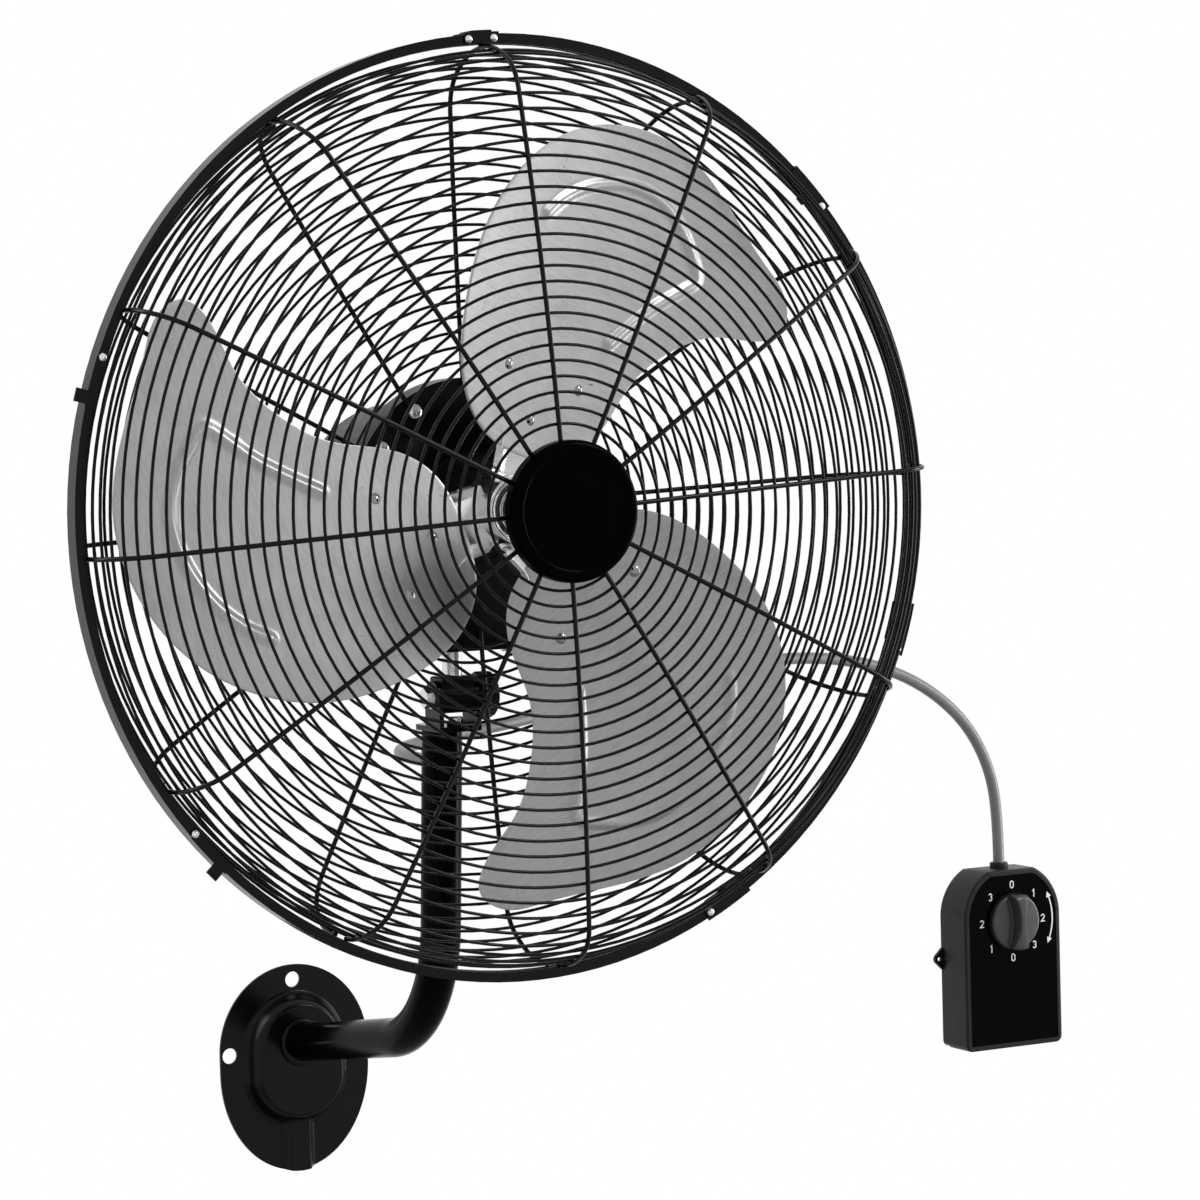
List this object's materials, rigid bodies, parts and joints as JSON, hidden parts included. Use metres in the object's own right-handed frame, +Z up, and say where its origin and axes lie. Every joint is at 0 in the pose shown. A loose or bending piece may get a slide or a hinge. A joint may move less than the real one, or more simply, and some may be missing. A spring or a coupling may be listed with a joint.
{
  "type": "wall mounted fan",
  "caption": "Oscillating wall fan with wire guards and pressed metal blades on a bent tube arm, wired to a separate wall control box with a rotary speed knob.",
  "frame": {"origin": "on the wall plane, midway between the wall plate's two side holes", "axes": "+X to the right when facing the wall, -Y out into the room, +Z up"},
  "size_m": [1.0555, 0.5093, 0.8661],
  "materials": {
    "black_paint": "gloss black powder coat",
    "black_casting": "black paint on die casting",
    "blade_metal": "satin rolled sheet",
    "bright_steel": "zinc plated",
    "black_gloss": "polished",
    "black_satin": "fine satin grain",
    "rubber_black": "matt",
    "cable_grey": "smooth sheath",
    "print_white": "printed",
    "copper": "enamelled wire",
    "lamination": "stamped sheets",
    "bronze": "sintered",
    "capacitor_case": "moulded"
  },
  "bodies": {
    "mount": {"wall_plate": "black_paint", "arm_tube": "black_paint", "arm_collar": "black_paint", "tilt_yoke": "black_paint", "yoke_screw": "bright_steel", "tilt_bolt": "bright_steel", "tilt_washers": "bright_steel", "box_base": "black_satin", "box_cover": "black_satin", "box_panel": "black_gloss", "dial_marks": "print_white", "rotary_switch": "black_satin", "box_screws": "bright_steel", "cable_gland": "black_satin", "arm_grommet": "rubber_black", "control_cable": "cable_grey"},
    "neck": {"neck_block": "black_casting", "neck_stem": "bright_steel", "swing_lug": "bright_steel", "lug_clip": "bright_steel"},
    "tilt_knob": {"tilt_knob": "black_satin"},
    "head": {"gear_housing": "black_casting", "gear_cover": "black_casting", "cover_screws": "bright_steel", "stem_bush": "bronze", "swing_motor": "bright_steel", "run_capacitor": "capacitor_case", "motor_front_bell": "black_casting", "motor_rear_bell": "black_casting", "motor_stator": "lamination", "motor_windings": "copper", "motor_bearings": "bright_steel", "motor_bolts": "bright_steel", "rear_guard_plate": "black_paint", "rear_guard_ribs": "black_paint", "rear_guard_spiral": "black_paint", "rear_guard_screws": "bright_steel", "clamp_band": "black_paint", "band_joint": "black_paint", "guard_clips": "black_paint", "band_rivets": "bright_steel", "front_guard_ribs": "black_paint", "front_guard_spiral": "black_paint", "front_guard_plate": "black_paint", "hub_cap": "black_gloss", "cap_screw": "bright_steel"},
    "swing_crank": {"swing_crank": "bright_steel"},
    "swing_link": {"swing_link": "bright_steel"},
    "rotor": {"motor_shaft": "bright_steel", "rotor_core": "lamination", "blade_hub": "blade_metal", "blade_1": "blade_metal", "blade_2": "blade_metal", "blade_3": "blade_metal", "blade_rivets": "bright_steel", "hub_screw": "bright_steel"},
    "control_knob": {"control_knob": "black_satin"},
    "guard_latch_1": {"guard_latch_1": "black_paint"},
    "guard_latch_2": {"guard_latch_2": "black_paint"}
  },
  "joints": [
    {"name": "head_tilt", "type": "hinge", "parent": "mount", "child": "neck", "pos_m": [0, -0.309, 0.3], "axis": [1, 0, 0], "range_deg": [-20, 20]},
    {"name": "clamp_knob_turn", "type": "hinge", "parent": "mount", "child": "tilt_knob", "pos_m": [0.025, -0.309, 0.3], "axis": [1, 0, 0], "continuous": true},
    {"name": "head_swing", "type": "hinge", "parent": "neck", "child": "head", "pos_m": [0, -0.309, 0.34], "axis": [0, 0, 1], "range_deg": [-40, 40]},
    {"name": "swing_crank_turn", "type": "hinge", "parent": "head", "child": "swing_crank", "pos_m": [0, -0.267, 0.3495], "axis": [0, 0, 1], "range_deg": [-40, 40]},
    {"name": "swing_link_turn", "type": "hinge", "parent": "swing_crank", "child": "swing_link", "pos_m": [0.008, -0.267, 0.354], "axis": [0, 0, 1], "range_deg": [-40, 40]},
    {"name": "rotor_spin", "type": "hinge", "parent": "head", "child": "rotor", "pos_m": [0, -0.421, 0.437], "axis": [0, 1, 0], "continuous": true},
    {"name": "speed_knob_turn", "type": "hinge", "parent": "mount", "child": "control_knob", "pos_m": [0.668, -0.05, 0.047], "axis": [0, 1, 0], "continuous": true},
    {"name": "latch_1_swing", "type": "hinge", "parent": "head", "child": "guard_latch_1", "pos_m": [-0.3068, -0.4298, 0.54927], "axis": [0, 1, 0], "range_deg": [0, 60]},
    {"name": "latch_2_swing", "type": "hinge", "parent": "head", "child": "guard_latch_2", "pos_m": [-0.25281, -0.4298, 0.23007], "axis": [0, 1, 0], "range_deg": [0, 60]}
  ],
  "couplings": [
    {"joint": "swing_crank_turn", "follows": "head_swing", "ratio": -1},
    {"joint": "swing_link_turn", "follows": "head_swing", "ratio": 1}
  ]
}
